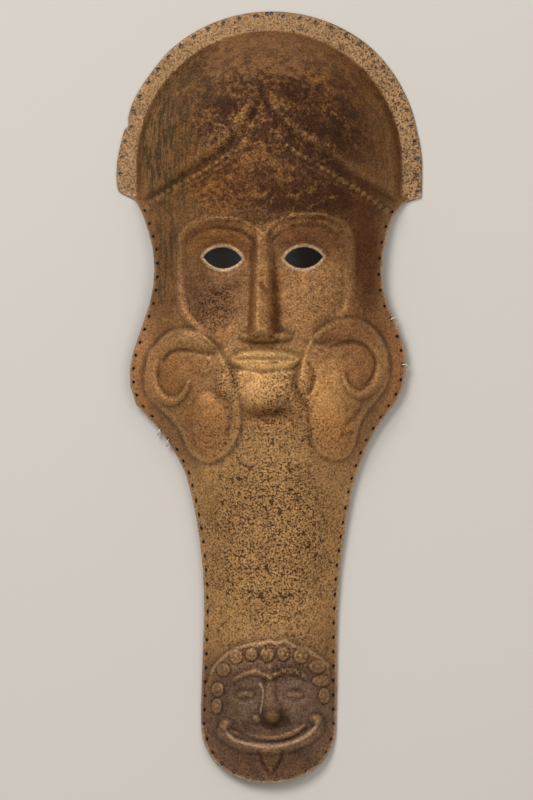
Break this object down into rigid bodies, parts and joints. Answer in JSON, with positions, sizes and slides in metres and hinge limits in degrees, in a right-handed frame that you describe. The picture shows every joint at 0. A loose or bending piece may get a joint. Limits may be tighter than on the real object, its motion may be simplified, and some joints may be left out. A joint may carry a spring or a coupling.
{
  "type": "horse head armour",
  "caption": "Embossed bronze plate for a horse's face: a helmeted warrior's face with ram's-head cheek guards above a gorgon's head, eyes cut through, rim pierced for a lining.",
  "frame": {"origin": "under the middle of the plate, on the surface its flange and lower end rest on", "axes": "+X across the plate to the right of someone who looks at its face, +Y up the plate towards the poll, +Z out of its face"},
  "size_m": [0.182, 0.4593, 0.0528],
  "materials": {
    "bronze": "old hammered bronze with a pitted brown and gold patina",
    "wire": "thin pale bronze wire"
  },
  "bodies": {
    "root": {"embossed_sheet": "bronze", "wire_ring_right_upper": "wire", "wire_ring_right_lower": "wire", "wire_ring_left_upper": "wire", "wire_ring_left_lower": "wire"}
  },
  "joints": []
}
